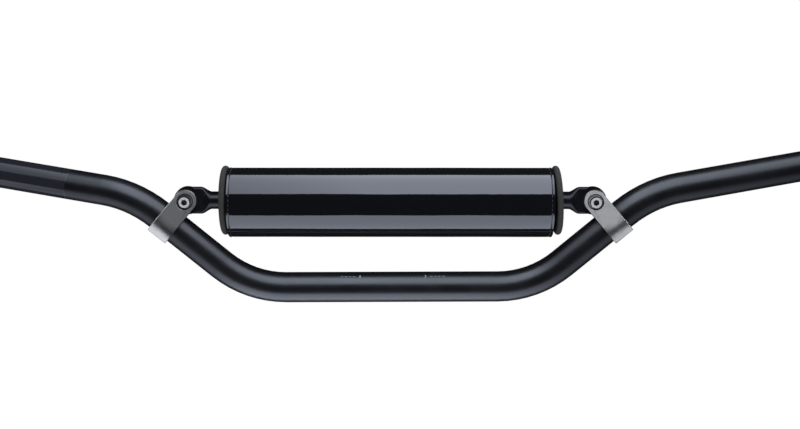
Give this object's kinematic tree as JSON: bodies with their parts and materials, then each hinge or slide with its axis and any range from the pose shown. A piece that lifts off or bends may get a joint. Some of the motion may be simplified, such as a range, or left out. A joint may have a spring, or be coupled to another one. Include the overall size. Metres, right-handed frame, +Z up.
{
  "type": "motocross handlebar",
  "caption": "Wide bent-tube handlebar with a clamped crossbar under a round foam pad.",
  "frame": {"origin": "middle of the straight centre section, on the tube's axis", "axes": "+X along the centre section to the end at the picture's right, +Y back towards the rider, +Z up"},
  "size_m": [0.8044, 0.0612, 0.1267],
  "materials": {
    "bar_black": "satin black anodised",
    "crossbar_black": "black anodised",
    "clamp_grey": "bead-blasted grey",
    "bolt_steel": "bright zinc",
    "foam_grey": "closed-cell foam",
    "cover_black": "glossy coated cloth",
    "closure_black": "hook and loop",
    "disc_grey": "dense moulded foam"
  },
  "bodies": {
    "root": {"handlebar_tube": "bar_black", "crossbar": "crossbar_black", "clamp_left": "clamp_grey", "clamp_right": "clamp_grey", "clamp_bolt_left": "bolt_steel", "clamp_bolt_right": "bolt_steel", "clamp_nut_left": "bolt_steel", "clamp_nut_right": "bolt_steel", "pad_foam": "foam_grey", "pad_cover": "cover_black", "pad_loop_strip": "closure_black", "pad_hook_strip": "closure_black", "pad_disc_left": "disc_grey", "pad_disc_right": "disc_grey"}
  },
  "joints": []
}
